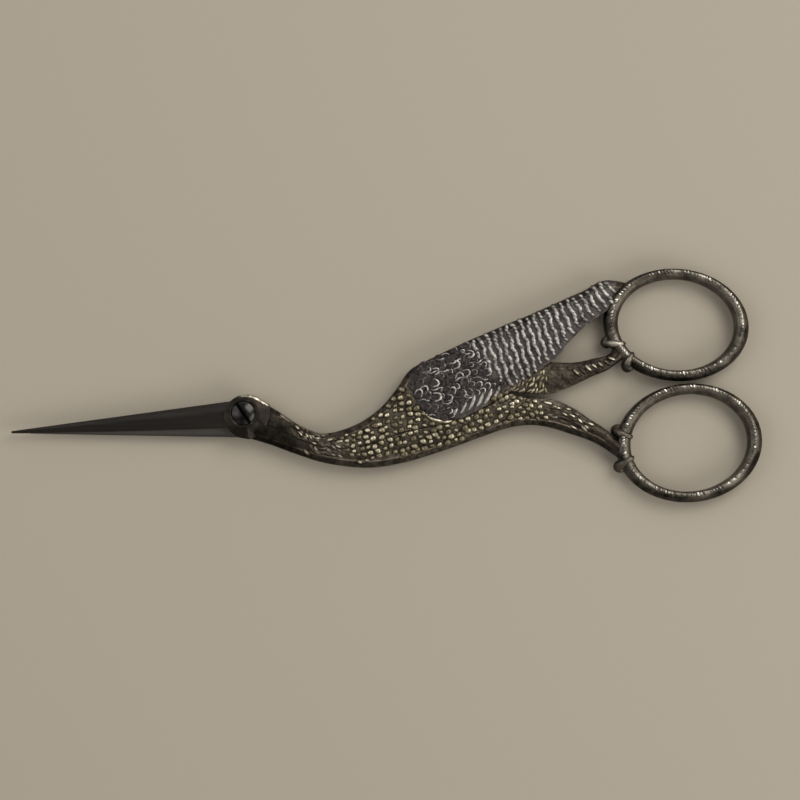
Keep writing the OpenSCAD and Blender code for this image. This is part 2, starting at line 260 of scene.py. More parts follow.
def metal(tree, shader, colour, gloss, height, relief, depth):
    """Gives a material's shader what makes it metal with a relief."""
    bump = node(tree, "ShaderNodeBump", {"Height": height, "Strength": relief, "Distance": depth})
    feed(tree, shader, {"Base Color": colour, "Roughness": gloss,
                        "Normal": bump.outputs["Normal"], "Metallic": 1.0})


def attribute(tree, name):
    return node(tree, "ShaderNodeAttribute", attribute_name=name).outputs["Fac"]


def antique(name, dark, tint, bright, rubbed, rough=(0.5, 0.3), relief=0.25, blotch=900.0,
            varied=None, ends_darker=False):
    """Antiqued metal whose bare places follow the mesh's marks of wear, which on some pieces also
    hold painted highlight and, below zero, painted shade.

    With varied, a least and a greatest share, each small feather is rubbed to its own degree. With
    its flag for darker ends set, the metal that isn't bare darkens towards the head and the foot."""
    made, tree, shader, place = blank(name)
    worn = attribute(tree, "worn")
    if varied:
        worn = maths(tree, "MULTIPLY", worn, spread(tree, attribute(tree, "own"), *varied))
    patina = node(tree, "ShaderNodeGroup", {
        "Vector": place, "Worn": worn, "Dark": (*dark, 1), "Tint": (*tint, 1),
        "Bright": (*bright, 1), "Rubbed": rubbed, "Blotch size": blotch}, node_tree=PATINA).outputs
    colour = patina["Color"]
    if ends_darker:
        x = node(tree, "ShaderNodeSeparateXYZ", {0: place}).outputs["X"]
        least = maths(tree, "MINIMUM", spread(tree, x, HEAD_LEFT, 1.0, HEAD_DARKENING),
                      spread(tree, x, 1.0, LEG_LEFT, LEG_DARKENING))
        kept = spread(tree, patina["Bare"], least, 1.0)
        colour = node(tree, "ShaderNodeVectorMath", {0: colour, "Scale": kept},
                      operation="SCALE").outputs[0]
    metal(tree, shader, colour, spread(tree, patina["Bare"], *rough), patina["Height"], relief,
          CAST_DEPTH)
    return made


def ground_steel(name, dark, light, rough, relief=0.2):
    """Steel with the wheel's lines along the blades."""
    made, tree, shader, place = blank(name)
    lines = node(tree, "ShaderNodeGroup", {"Vector": place}, node_tree=WHEEL).outputs
    metal(tree, shader, blend(tree, lines["Streak"], (*dark, 1), (*light, 1)),
          spread(tree, lines["Height"], rough - 0.08, rough + 0.1), lines["Height"], relief,
          GROUND_DEPTH)
    return made


# Least and greatest share of wear that one small feather has
VARIED = (0.45, 1.25)
black_steel = ground_steel("blackened_steel", (0.022, 0.019, 0.017), (0.055, 0.05, 0.045), 0.36)
inner_steel = ground_steel("hollow_ground_steel", (0.06, 0.053, 0.048), (0.12, 0.108, 0.097), 0.34)
# Painted highlight for the chamfer along each blade's spine
edge_highlight_steel = ground_steel("bright_edge_steel", (0.2, 0.18, 0.16), (0.42, 0.39, 0.35), 0.34)
eye_steel = ground_steel("polished_steel", (0.014, 0.013, 0.012), (0.042, 0.04, 0.037), 0.2, 0.1)
# Near-black colour inside the screw's slot, a painted shade
slot_grime = ground_steel("slot_grime", (0.003, 0.003, 0.003), (0.006, 0.006, 0.006), 0.7)
head_bronze = antique("blackened_bronze", (0.012, 0.01, 0.008), (0.034, 0.029, 0.024),
                      (0.42, 0.38, 0.3), 0.42, (0.42, 0.24), relief=0.2)
dark_bronze = antique("dark_bronze", (0.022, 0.018, 0.014), (0.125, 0.105, 0.078),
                      (0.4, 0.355, 0.27), 0.5, (0.4, 0.28), relief=0.55, ends_darker=True)
bronze = antique("rubbed_bronze", (0.058, 0.048, 0.031), (0.185, 0.155, 0.1),
                 (0.56, 0.495, 0.36), 0.42, (0.44, 0.3), varied=VARIED)
thigh_bronze = antique("thigh_bronze", (0.085, 0.07, 0.044), (0.28, 0.232, 0.15),
                       (0.54, 0.475, 0.34), 0.42, (0.44, 0.32), varied=VARIED)
leg_bronze = antique("leg_bronze", (0.035, 0.029, 0.022), (0.12, 0.102, 0.077),
                     (0.46, 0.41, 0.31), 0.42, (0.42, 0.3), varied=VARIED, ends_darker=True)
edge_bronze = antique("edge_bronze", (0.048, 0.04, 0.027), (0.2, 0.17, 0.118),
                      (0.64, 0.565, 0.42), 0.52, (0.4, 0.3), blotch=1500.0)
silver = antique("rubbed_silver", (0.05, 0.045, 0.042), (0.22, 0.205, 0.189),
                 (0.385, 0.362, 0.327), 0.7, (0.58, 0.48), varied=VARIED, blotch=1800.0)
rib_silver = antique("rib_silver", (0.05, 0.045, 0.042), (0.2, 0.187, 0.173),
                     (0.405, 0.381, 0.344), 0.66, (0.56, 0.46), blotch=1800.0)
dark_silver = antique("dark_silver", (0.01, 0.0085, 0.009), (0.088, 0.076, 0.071),
                      (0.5, 0.465, 0.43), 0.45, (0.44, 0.34), varied=(0.1, 1.15), blotch=2400.0)
quill_silver = antique("quill_silver", (0.05, 0.043, 0.046), (0.16, 0.145, 0.145),
                       (0.5, 0.475, 0.46), 0.62, (0.5, 0.4), blotch=2200.0)
wing_ground = antique("wing_ground", (0.022, 0.019, 0.018), (0.11, 0.098, 0.089),
                      (0.34, 0.32, 0.29), 0.5, (0.45, 0.34), blotch=650.0)
gunmetal = antique("ring_gunmetal", (0.011, 0.0095, 0.0075), (0.165, 0.144, 0.114),
                   (0.6, 0.55, 0.46), 0.54, (0.42, 0.27), relief=0.5, blotch=330.0)
milled_gunmetal = antique("milled_gunmetal", (0.02, 0.017, 0.014), (0.13, 0.115, 0.094),
                          (0.7, 0.66, 0.58), 0.34, (0.4, 0.28), varied=VARIED, blotch=330.0)


# Making pieces
def new_object(mesh, *materials):
    """An object with its mesh's name."""
    obj = bpy.data.objects.new(mesh.name, mesh)
    bpy.context.scene.collection.objects.link(obj)
    for m in materials:
        mesh.materials.append(m)
    return obj


def closed_mesh(name, points, faces, worn=None):
    """A mesh from points in metres, with its faces turned outwards."""
    mesh = bpy.data.meshes.new(name)
    mesh.from_pydata([tuple(p) for p in points], [], faces)
    if worn is not None:
        mesh.attributes.new("worn", "FLOAT", "POINT").data.foreach_set(
            "value", np.asarray(worn, np.float32))
    bm = bmesh.new()
    bm.from_mesh(mesh)
    bmesh.ops.recalc_face_normals(bm, faces=bm.faces)
    bm.to_mesh(mesh)
    bm.free()
    return mesh


def mesh_of(name, points, faces, worn=None):
    """A mesh in the frame from points in mm of the drawing."""
    return closed_mesh(name, (np.asarray(points, float) + PIVOT) * MM, faces, worn)


def from_bmesh(name, bm, *materials):
    """An object from a filled bmesh, which is freed."""
    mesh = bpy.data.meshes.new(name)
    bm.to_mesh(mesh)
    bm.free()
    return new_object(mesh, *materials)


def worn_flat(mesh):
    """Flattens what stands out below the head's face, on which the scissors lie."""
    at = np.empty(len(mesh.vertices) * 3, np.float32)
    mesh.vertices.foreach_get("co", at)
    at[2::3] = np.maximum(at[2::3], (PIVOT[2] - HALF_T + 0.02) * MM)
    mesh.vertices.foreach_set("co", at)
    mesh.update()


def settle(obj):
    """Applies the modifiers, so that the piece is one plain mesh."""
    made = bpy.data.meshes.new_from_object(
        obj.evaluated_get(bpy.context.evaluated_depsgraph_get()))
    old = obj.data
    obj.modifiers.clear()
    obj.data = made
    bpy.data.meshes.remove(old)


def cut(obj, *tools):
    for tool in tools:
        step = obj.modifiers.new("cut", "BOOLEAN")
        step.operation, step.solver, step.object = "DIFFERENCE", "EXACT", tool
        settle(obj)
        bpy.data.objects.remove(tool)


def quads(a, b, c, d):
    """Faces from four grids of corners."""
    return np.stack([a, b, c, d], -1).reshape(-1, 4).tolist()


def loft(sections, loop=False):
    """Points and faces of a solid through sections, each a closed round of the same length."""
    m, n = sections.shape[:2]
    at = np.arange(m * n).reshape(m, n)
    ahead = np.roll(at, -1, 0) if loop else at[1:]
    here = at if loop else at[:-1]
    points = sections.reshape(-1, 3)
    faces = quads(here, np.roll(here, -1, 1), np.roll(ahead, -1, 1), ahead)
    if not loop:
        points = np.vstack([points, sections[0].mean(0), sections[-1].mean(0)])
        for row, hub in ((at[0], m * n), (at[-1], m * n + 1)):
            faces += [[row[j], row[(j + 1) % n], hub] for j in range(n)]
    return points, faces


def together(solids):
    """Several solids of points, faces and worn marks as one."""
    points, faces, worn = [], [], []
    for p, f, w in solids:
        faces += [[i + len(points) for i in g] for g in f]
        points += list(p)
        worn += list(w)
    return points, faces, worn


def unit(rows):
    """Directions with the length 1, one a row."""
    return rows / np.linalg.norm(rows, axis=1)[:, None]


def rounded(corners, radii, steps=4):
    """An open line of points through corners, each corner rounded by a quadratic curve."""
    corners = [np.asarray(c, float) for c in corners]
    line = [corners[0]]
    for a, b, c, r in zip(corners, corners[1:], corners[2:], radii):
        into, out = b - a, c - b
        r1 = min(r, 0.45 * np.linalg.norm(into))
        r2 = min(r, 0.45 * np.linalg.norm(out))
        p = b - into / max(np.linalg.norm(into), 1e-9) * r1
        q = b + out / max(np.linalg.norm(out), 1e-9) * r2
        for t in np.linspace(0, 1, steps):
            line.append((1 - t) ** 2 * p + 2 * t * (1 - t) * b + t * t * q)
    return line + [corners[-1]]


def plan_of(ring, a, share):
    """Point of a finger ring at an angle and a share of the band's width, 0 at the opening."""
    c, length, height, tilt = ring
    x = (length + share * BAND_SIDE) * math.cos(a)
    y = (height + share * BAND_END) * math.sin(a)
    t = math.radians(tilt)
    return c + np.array([x * math.cos(t) - y * math.sin(t), x * math.sin(t) + y * math.cos(t)])


# Arms: neck, body, wing and legs. A row is the outer edge, the inner edge and the face's heights
def behind(p, face):
    """Row of an arm behind the crotch."""
    return [CROTCH + p[0], p[1], CROTCH + p[2], p[3], *face]


def ring_row(ring, at, face):
    """Last row of an arm, inside the band between two angles."""
    ends = [plan_of(ring, math.radians(a), 0.5) for a in at]
    return [*ends[0], *ends[1], *face]


BODY_FACE = np.array([0.88, 0.67, 0.06]) * HALF_T
LEG_FACE = np.array([0.34, 0.4, 0.12]) * LEG_T
WING_LIFT = 0.24
WING_FACE = np.array([0.9 * (HALF_T - WING_LIFT), 0.86 * (HALF_T - WING_LIFT), 0.04 * HALF_T])
TAIL_FACE = np.array([0.67, 0.6, 0.04]) * HALF_T
HALF_GAP = PARTING_GAP / 2
# Share of its thickness that an arm has at its first rows, where it runs into the head
AT_HEAD = [0.92, 0.95, 0.98] + [1] * 9
# How deep feathers are bedded, the soft border of the bed, and the fillets of a section
BED, BORDER = 0.18, 0.3
INNER_FILLET, CREST_FILLET, FOOT_FILLET = 0.16, 0.2, 0.22
# The wing's step: where it starts outside the outline, how wide it is, and the share of a
# section from the inner edge that it may take
STEP_FROM, STEP_WIDE, STEP_SHARE = 0.1, 0.35, 0.87

near_rows = [[*BREAST[i], PARTING[i][0], PARTING[i][1] - HALF_GAP,
              *(mix(BODY_FACE, LEG_FACE, ramp((i - 8) / 4)) * AT_HEAD[i])]
             for i in range(12)]
near_rows += [behind(p, LEG_FACE) for p in LOWER_LEG]
near_rows += [ring_row(LOWER_RING, (198, 176), LEG_FACE * 0.8)]
far_rows = [[*NAPE[i], PARTING[i][0], PARTING[i][1] + HALF_GAP,
             *(mix(BODY_FACE, WING_FACE, ramp((i - 5) / 2)) * AT_HEAD[i])]
            for i in range(11)]
far_rows += [behind(p, WING_FACE) for p in RUMP]
far_rows += [behind(p, mix(WING_FACE, TAIL_FACE, i / 3)) for i, p in enumerate(TAIL)]
far_rows += [ring_row(UPPER_RING, (134, 164), TAIL_FACE * 0.6)]
leg_rows = [behind(p, LEG_FACE * 1.05) for p in UPPER_LEG]
leg_rows += [ring_row(UPPER_RING, (209, 224), LEG_FACE * 0.8)]


def arm_section(row, bed, inner, across):
    """Half round of an arm's section, from the inner wall over the face to the outer wall."""
    outer = row[:2]
    width = np.linalg.norm(outer - inner)
    flat = width - BEVEL
    t = np.linspace(0, 1, across)
    z = mix(row[4], row[5], t) + row[6] * 4 * t * (1 - t) - bed * ramp((1 - t) * flat / BORDER)
    crown = np.column_stack([t * flat, z])
    line = rounded([(0, 0), crown[0], crown[1]], [INNER_FILLET])[:-1] + list(crown[1:-1])
    line += rounded([crown[-2], crown[-1], (width, RIM), (width, 0)],
                    [CREST_FILLET, FOOT_FILLET])[1:]
    line = np.array(line)
    return np.column_stack([inner + (outer - inner) * (line[:, :1] / width), line[:, 1]])


def whole(half):
    """Both faces of a section from its upper half."""
    return np.vstack([half, half[-2:0:-1] * [1, 1, -1]])


def inner_edge(u, row):
    return row[2:4]


def far_inner(u, row):
    return curve(PARTING, u)[0] + [0, HALF_GAP] if u < 10 else inner_edge(u, row)


def arm(name, rows, parts, bed_from, bed_to, inner=inner_edge, lift=None, across=30):
    """A lofted arm. Its faces lie a little low between bed_from and bed_to, where feathers go."""
    sections = []
    for u in np.linspace(0, len(rows) - 1, parts):
        row = curve(rows, u)[0]
        low = BED * ramp((u - bed_from) / BORDER) * ramp((bed_to - u) / BORDER)
        half = arm_section(row, low, inner(u, row), across)
        if lift is not None:
            half[:, 2] = lift(half)
        sections.append(whole(half))
    points, faces = loft(np.array(sections))
    n = len(sections[0])
    k = n // 2 + 1
    # The inner edge and the bevel's crest are rubbed, and the foot of the bevel is marked below
    # zero, a painted shade
    marks = {3: 0.55, 4: 0.6, 5: 0.45, k - 10: 0.5, k - 9: 0.68, k - 8: 0.5, k - 7: -0.3,
             k - 6: -0.45, k - 5: -0.45, k - 4: 0.05, k - 3: 0.2}
    worn = np.zeros(n)
    for j, value in marks.items():
        worn[[j, n - j]] = value
    worn = [*np.tile(worn, parts), 0, 0]
    return new_object(mesh_of(name, points, faces, worn), dark_bronze)


def wing_height(half):
    """Lifts the wing over the body, with a soft step along its edge."""
    deep = inside_by(WING, half[:, :2])
    inner_part = np.linspace(0, 1, len(half)) < STEP_SHARE
    lift = WING_LIFT * ramp((deep + STEP_FROM) / STEP_WIDE) * inner_part
    return half[:, 2] + np.where(half[:, 2] > 0.5, lift, 0)


near_body = arm("breast_and_lower_leg", near_rows, 330, 1.5, 15.2)
far_body = arm("nape_wing_and_tail", far_rows, 360, 1.4, 16.2, far_inner, wing_height, 48)
thigh = arm("thigh_and_upper_leg", leg_rows, 150, 0.5, 5.5, across=24)


# Heads, blades and the eye
# Directions of the neck and of the painted highlight on the crown's edge; the crown is also rubbed
# along its edge and round the land
NECK_WAY, RIM_HIGHLIGHT_WAY = math.radians(-27), math.radians(52)
RIM_MARK_WIDE, LAND_RUBBED_R = 0.34, 2.1
# Plumb lines start this far from the pivot, and tools that cut right through reach this far
PLUMB_FROM, THROUGH = 6, 4
SCREW_END = 0.05 - HALF_T
SLOT_FLOOR = HALF_T - EYE_DEPTH + 0.2
EYE_TOP = HALF_T + EYE_RISE


def skin_of(obj):
    return BVHTree.FromPolygons([v.co[:] for v in obj.data.vertices],
                                [p.vertices[:] for p in obj.data.polygons])


def drop(skin, x, y, side):
    """Point in mm and outward direction where a plumb line meets a face of a piece, or None."""
    at = Vector(((x + PIVOT[0]) * MM, (y + PIVOT[1]) * MM, (PIVOT[2] + PLUMB_FROM * side) * MM))
    hit, normal = skin.ray_cast(at, Vector((0, 0, -side)))[:2]
    if hit is None:
        return None
    if normal.z * side < 0:
        normal = -normal
    return np.array(hit) / MM - PIVOT, np.array(normal)


def head_reach(angles):
    """Distance from the pivot to the head's outline in each direction."""
    share = np.linspace(0, 1, 121)[:, None]
    centres, radii = mix(HEAD_AT, THROAT_AT, share), mix(HEAD_R, THROAT_R, share[:, 0])
    reach = []
    for a in angles:
        b = centres @ heading(a)
        under = b * b - (centres ** 2).sum(1) + radii ** 2
        reach.append(min(LAP_R, (b + np.sqrt(np.maximum(under, 0)))[under > 0].max()))
    return reach


def swung(line, a, side=1):
    """Points of a profile, drawn as distance and height, at an angle round the pivot."""
    c, s = heading(a)
    return [[x * c, x * s, side * z] for x, z in line]


def head(name, side, bore, well, body):
    """Round head with the lap. Towards the neck its face falls to the body's, so both join."""
    neck, angles = skin_of(body), around(160)
    wall, radii = [(bore, HALF_T)], [0.1]
    if well:
        bottom = HALF_T - EYE_DEPTH
        wall, radii = [(bore, bottom), (well, bottom), (well, HALF_T)], [0.03, 0.03, 0.1]
    sections, marks = [], []
    for a, reach in zip(angles, head_reach(angles)):
        r = np.linspace(LAND_R + 0.05, reach - 0.02, 14)
        top = HALF_T + LAND_R ** 2 / (2 * DOME_R) - DOME_R + np.sqrt(DOME_R ** 2 - r ** 2)
        towards_neck = ramp((math.cos(a - NECK_WAY) - 0.62) / 0.25)
        meets = drop(neck, *(reach * 0.985 * heading(a)), side)
        if meets is not None:
            join = towards_neck * ramp((r / reach - 0.5) / 0.5)
            top = mix(top, side * meets[0][2] - 0.01, join)
        face = list(np.column_stack([r, np.minimum(top, HALF_T)]))
        line = rounded([(bore, LAP / 2), *wall, face[0]], radii)[:-1] + face[:-1]
        line += rounded([face[-2], face[-1] + [0.02, 0], (reach, LAP / 2), (bore, LAP / 2)],
                        [mix(0.3, 0.04, towards_neck), 0.1])[1:-1]
        sections.append(swung(line, a, side))
        # Wear all round the crown's edge, plus a painted highlight on the side of the edge towards
        # the key light
        rubbed = 0.1 + 0.85 * ramp((math.cos(a - RIM_HIGHLIGHT_WAY) - 0.45) / 0.4)
        rubbed *= 1 - towards_neck
        marks += [rubbed if abs(x - reach) < RIM_MARK_WIDE and z > 0.6 else
                  (0.6 if x < LAND_RUBBED_R and z > HALF_T - 0.12 else 0.0) for x, z in line]
    points, faces = loft(np.array(sections), loop=True)
    return new_object(mesh_of(name, points, faces, marks), head_bronze)


def blade(name, side):
    """Hollow-ground blade: black outside, lighter on its inner face, and with a painted highlight on
    the chamfer along its spine.
    """
    sections = []
    for s in np.linspace(0, 1, 90):
        x = mix(ROOT[0], -BLADE_LEN, s)
        spine = mix(ROOT[1] + side * BLADES_W / 2, -TIP_DROP + side * TIP_W / 2, s)
        edge = (mix(ROOT[1] + side * (BLADES_W / 2 - BLADE_W), -TIP_DROP - side * TIP_W / 2, s)
                - side * BELLY * 4 * s * (1 - s))
        t, h = mix(BLADE_T, TIP_T, s), HOLLOW * (1 - 0.7 * s)
        width = abs(spine - edge)
        outer = rounded([(0, EDGE_T * 0.5), (0, EDGE_T), (0.3 * width, 0.66 * t),
                         (0.5 * width, 0.95 * t), (0.72 * width, t), (width, 0.78 * t),
                         (width, SPINE_FLAT)], [0.02, 0.3, 0.5, 0.5, 0.2 * (1 - s) + 0.04], 5)
        flat = 1 - min(SPINE_CHAMFER, 0.3 * width) / width
        hollow = [(width * flat * (1 - w), h * 4 * w * (1 - w)) for w in np.linspace(0, 1, 9)]
        sections.append([[x, edge + side * y, side * (LAP / 2 + z)] for y, z in outer + hollow])
    points, faces = loft(np.array(sections))
    obj = new_object(mesh_of(name, points, faces), black_steel, inner_steel, edge_highlight_steel)
    level = (PIVOT[2] + side * LAP / 2) * MM
    # The inner face takes the lighter ground steel, and the chamfer along the spine a painted
    # highlight
    for f in obj.data.polygons:
        outwards = side * f.normal.z
        if abs(f.center.z - level) < 0.11 * MM and outwards < -0.3:
            f.material_index = 1 if outwards < -0.9 else 2
    return obj


def cylinder(radius, low=-THROUGH, high=THROUGH):
    """A tool that cuts round the pivot between two heights."""
    bm = bmesh.new()
    bmesh.ops.create_cone(bm, cap_ends=True, segments=160, radius1=radius * MM,
                          radius2=radius * MM, depth=(high - low) * MM)
    middle = Vector(PIVOT * MM) + Vector((0, 0, (low + high) / 2 * MM))
    bmesh.ops.translate(bm, verts=bm.verts, vec=middle)
    return from_bmesh("cylinder", bm)


near_head = head("near_head", 1, SHANK_HOLE_R, SEAT_R, near_body)
far_head = head("far_head", -1, THREAD_HOLE_R, None, far_body)
near_blade, far_blade = blade("near_blade", 1), blade("far_blade", -1)
cut(near_body, cylinder(LAP_R + LAP_PLAY, high=LAP / 2), cylinder(SEAT_R))
cut(far_body, cylinder(LAP_R + LAP_PLAY, low=-LAP / 2), cylinder(THREAD_HOLE_R))
cut(near_blade, cylinder(SEAT_R))
cut(far_blade, cylinder(THREAD_HOLE_R))


def screw_mesh():
    """The pivot screw before its slot is cut: domed head, shank and rounded end."""
    under, dome = HALF_T - EYE_DEPTH, (EYE_R ** 2 + EYE_RISE ** 2) / (2 * EYE_RISE)
    cap = [np.array([x, EYE_TOP - dome + math.sqrt(dome ** 2 - x * x)])
           for x in np.linspace(EYE_R, 0.0, 16)[:-1]]
    line = rounded([(0.001, SCREW_END), (SCREW_R, SCREW_END), (SCREW_R, under), (EYE_R, under),
                    cap[0], cap[1]], [0.15, 0.02, 0.05, 0.12])[:-1] + cap[1:]
    grid = np.array([swung(line, a) for a in around(120)])
    m, n = grid.shape[:2]
    at = np.arange(m * n).reshape(m, n)
    ahead = np.roll(at, -1, 0)
    faces = quads(at[:, :-1], at[:, 1:], ahead[:, 1:], ahead[:, :-1])
    points = np.vstack([grid.reshape(-1, 3), [0, 0, EYE_TOP], [0, 0, SCREW_END]])
    for end, hub in ((-1, m * n), (0, m * n + 1)):
        faces += [[at[i, end], ahead[i, end], hub] for i in range(m)]
    return mesh_of("eye_screw", points, faces)


def slot_tool():
    bm = bmesh.new()
    bmesh.ops.create_cube(bm, size=1.0)
    bmesh.ops.scale(bm, verts=bm.verts, vec=Vector((8, SLOT_W, 2 * SLOT_DEPTH)) * MM)
    tool = from_bmesh("slot", bm)
    tool.rotation_euler.z = SLOT_TURN
    tool.location = Vector(PIVOT * MM) + Vector((0, 0, EYE_TOP * MM))
    bpy.context.view_layer.update()
    return tool


def eye():
    """The bird's eye: the screw with its slot, painted dark inside as shade, and with softened
    edges.
    """
    obj = new_object(screw_mesh(), eye_steel)
    cut(obj, slot_tool())
    obj.data.materials.append(slot_grime)
    # Faces inside the slot get the painted shade
    along = heading(SLOT_TURN)
    for f in obj.data.polygons:
        x, y, z = np.array(f.center) / MM - PIVOT
        if (abs(x * along[1] - y * along[0]) < SLOT_W / 2 + 0.01 and z > SLOT_FLOOR
                and math.hypot(x, y) < EYE_R - 0.01):
            f.material_index = 1
    softened = obj.modifiers.new("softened", "BEVEL")
    softened.width, softened.segments = 0.05 * MM, 2
    softened.limit_method, softened.angle_limit = "ANGLE", math.radians(35)
    settle(obj)
    return obj


eye_screw = eye()


# Finger rings and toes
RING_PARTS, TOE_PARTS = 360, 26
# Section of the band: share of its width and of half its thickness
BAND = ((0, 0.0), (0, 0.5), (0.2, 0.89), (0.5, 1.0), (0.8, 0.84), (1, 0.42), (1, 0.0))
BAND_FILLETS = (0.12, 0.22, 0.16, 0.22, 0.22)
# Way of a toe: share of the band's width, height and radius
TOE = ((1.05, 0.0, 0.98), (1.02, 0.4, 0.92), (0.88, 0.88, 0.68), (0.66, 1.14, 0.52),
       (0.42, 1.28, 0.46), (0.16, 1.12, 0.46), (-0.02, 0.72, 0.26))


def leaning(share, a):
    """Share of the band's width, with the ridge leaning outwards above and inwards below."""
    return share + RIDGE_LEAN * math.sin(a) * 4 * share * (1 - share)


def finger_ring(name, ring):
    """Band with a flat wall at the opening, a bevel on both sides and a crest between them."""
    k = RING_T / 2
    sections, marks = [], None
    for a in around(RING_PARTS):
        wide = np.linalg.norm(plan_of(ring, a, 1) - plan_of(ring, a, 0))
        line = np.array(rounded([(leaning(x, a) * wide, z * k) for x, z in BAND], BAND_FILLETS, 6))
        plan = np.array([plan_of(ring, a, x / wide) for x in line[:, 0]])
        sections.append(whole(np.column_stack([plan, line[:, 1]])))
        if marks is None:
            # Painted light and shade: the inner half of the band is marked lighter and the outer
            # half darker; the crest is rubbed bright
            flank_light_and_shade = np.where(line[:, 0] < 0.5 * wide, 0.22, -0.35)
            marks = np.where(np.abs(line[:, 1]) / k > 0.93, 0.66, flank_light_and_shade)
            marks = np.concatenate([marks, marks[-2:0:-1]])
    points, faces = loft(np.array(sections), loop=True)
    return new_object(mesh_of(name, points, faces, np.tile(marks, RING_PARTS)), gunmetal)


def toe(ring, angle, slide, side):
    """One toe that comes over the band from outside and ends in a claw at the opening."""
    track = []
    for i, (share, z, r) in enumerate(TOE):
        b = math.radians(angle) + math.radians(slide) * i / (len(TOE) - 1)
        track.append([*plan_of(ring, b, share), z, r])
    track = curve(track, np.linspace(0, len(TOE) - 1, TOE_PARTS))
    track[:, 3] *= 1 + 0.08 * np.cos(np.linspace(0, 2 * 2 * math.pi, TOE_PARTS))
    turn = around(14)[:, None]
    sections = []
    for p, d in zip(track, unit(np.gradient(track[:, :3], axis=0))):
        s = np.cross(d, [0, 0, 1.0])
        s /= max(np.linalg.norm(s), 1e-6)
        sections.append(p[:3] + p[3] * (np.cos(turn) * s + np.sin(turn) * np.cross(s, d)))
    points, faces = loft(np.array(sections))
    points = points * [1, 1, side]
    return points, faces, np.clip((np.abs(points[:, 2]) - 0.7) * 0.6, 0, 0.6)


def toes(name, ring, spots):
    """Toes on both faces of a ring. A spot is an angle and how far the toe slides round the band."""
    solids = [toe(ring, *spot, side) for spot in spots for side in UP_DOWN]
    return new_object(mesh_of(name, *together(solids)), gunmetal)


lower_ring = finger_ring("lower_ring", LOWER_RING)
upper_ring = finger_ring("upper_ring", UPPER_RING)
lower_toes = toes("lower_toes", LOWER_RING, ((162, 5), (197, -6)))
upper_toes = toes("upper_toes", UPPER_RING, ((204, 7), (233, -8)))


# Geometry-node trees for what repeats
def feather_tree(name, path):
    """Places a small shape on every point, or at a pitch along every path.

    The points carry `facing`, the way out of the metal, and `lie`, the way the feathers point."""
    sizes = {"Length": MM, "Width": MM, "Rise": 0.2 * MM, "Pitch": MM, "Turn": 0.0, "Tilt": 0.0,
             "Size jitter": 0.1, "Turn jitter": 0.1}
    tree, given, out = group(name, [
        ("Geometry", "Geometry", None), ("Shape", "Object", None),
        *((label, "Float", value) for label, value in sizes.items()),
        ("Seed", "Int", None), ("Finish", "Material", None)],
        [("Geometry", "Geometry")], "Geometry")

    def step(kind, inputs=None, **settings):
        return node(tree, kind, inputs, **settings).outputs[0]

    def carried(label, kind):
        return step("GeometryNodeInputNamedAttribute", {"Name": label}, data_type=kind)

    def chance(more, low):
        """A random number from low to 1. What is added to the seed sets it apart from others."""
        seed = maths(tree, "ADD", given["Seed"], more) if more else given["Seed"]
        return node(tree, "FunctionNodeRandomValue", {"Seed": seed, 2: low, 3: 1.0},
                    data_type="FLOAT").outputs[1]

    seats = given["Geometry"]
    if path:
        lines = step("GeometryNodeMeshToCurve", {"Mesh": seats})
        seats = step("GeometryNodeResampleCurve", {"Curve": lines, "Length": given["Pitch"]},
                     mode="LENGTH")
        lie = step("GeometryNodeInputTangent")
    else:
        lie = carried("lie", "FLOAT_VECTOR")
    up = step("FunctionNodeAlignRotationToVector", {"Vector": carried("facing", "FLOAT_VECTOR")},
              axis="Z")
    ahead = step("FunctionNodeAlignRotationToVector", {"Rotation": up, "Vector": lie}, axis="X",
                 pivot_axis="Z")
    turn = maths(tree, "MULTIPLY_ADD", chance(0.0, -1.0), given["Turn jitter"], given["Turn"])
    euler = step("ShaderNodeCombineXYZ", {"Y": given["Tilt"], "Z": turn})
    laid = step("FunctionNodeRotateRotation",
                {0: ahead, 1: step("FunctionNodeEulerToRotation", {0: euler})},
                rotation_space="LOCAL")
    grown = maths(tree, "MULTIPLY_ADD", chance(77.0, -1.0), given["Size jitter"], 1.0)
    grown = maths(tree, "MULTIPLY", grown, carried("size", "FLOAT"))
    extent = step("ShaderNodeCombineXYZ", {"X": given["Length"], "Y": given["Width"],
                                           "Z": given["Rise"]})
    extent = step("ShaderNodeVectorMath", {0: extent, "Scale": grown}, operation="SCALE")
    shape = node(tree, "GeometryNodeObjectInfo", {"Object": given["Shape"]}).outputs["Geometry"]
    placed = step("GeometryNodeInstanceOnPoints", {"Points": seats, "Instance": shape,
                                                   "Rotation": laid, "Scale": extent})
    marked = step("GeometryNodeStoreNamedAttribute", {"Geometry": placed, "Name": "own",
                  "Value": chance(191.0, 0.0)}, data_type="FLOAT", domain="INSTANCE")
    real = step("GeometryNodeRealizeInstances", {"Geometry": marked})
    finished = step("GeometryNodeSetMaterial", {"Geometry": real, "Material": given["Finish"]})
    tree.links.new(finished, out.inputs[0])
    return tree


ON_POINTS = feather_tree("feathers_on_points", False)
ON_PATHS = feather_tree("barbs_on_paths", True)
# What a seat carries beside its point, in this order
CARRIED = (("facing", "FLOAT_VECTOR", "vector"), ("lie", "FLOAT_VECTOR", "vector"),
           ("size", "FLOAT", "value"))


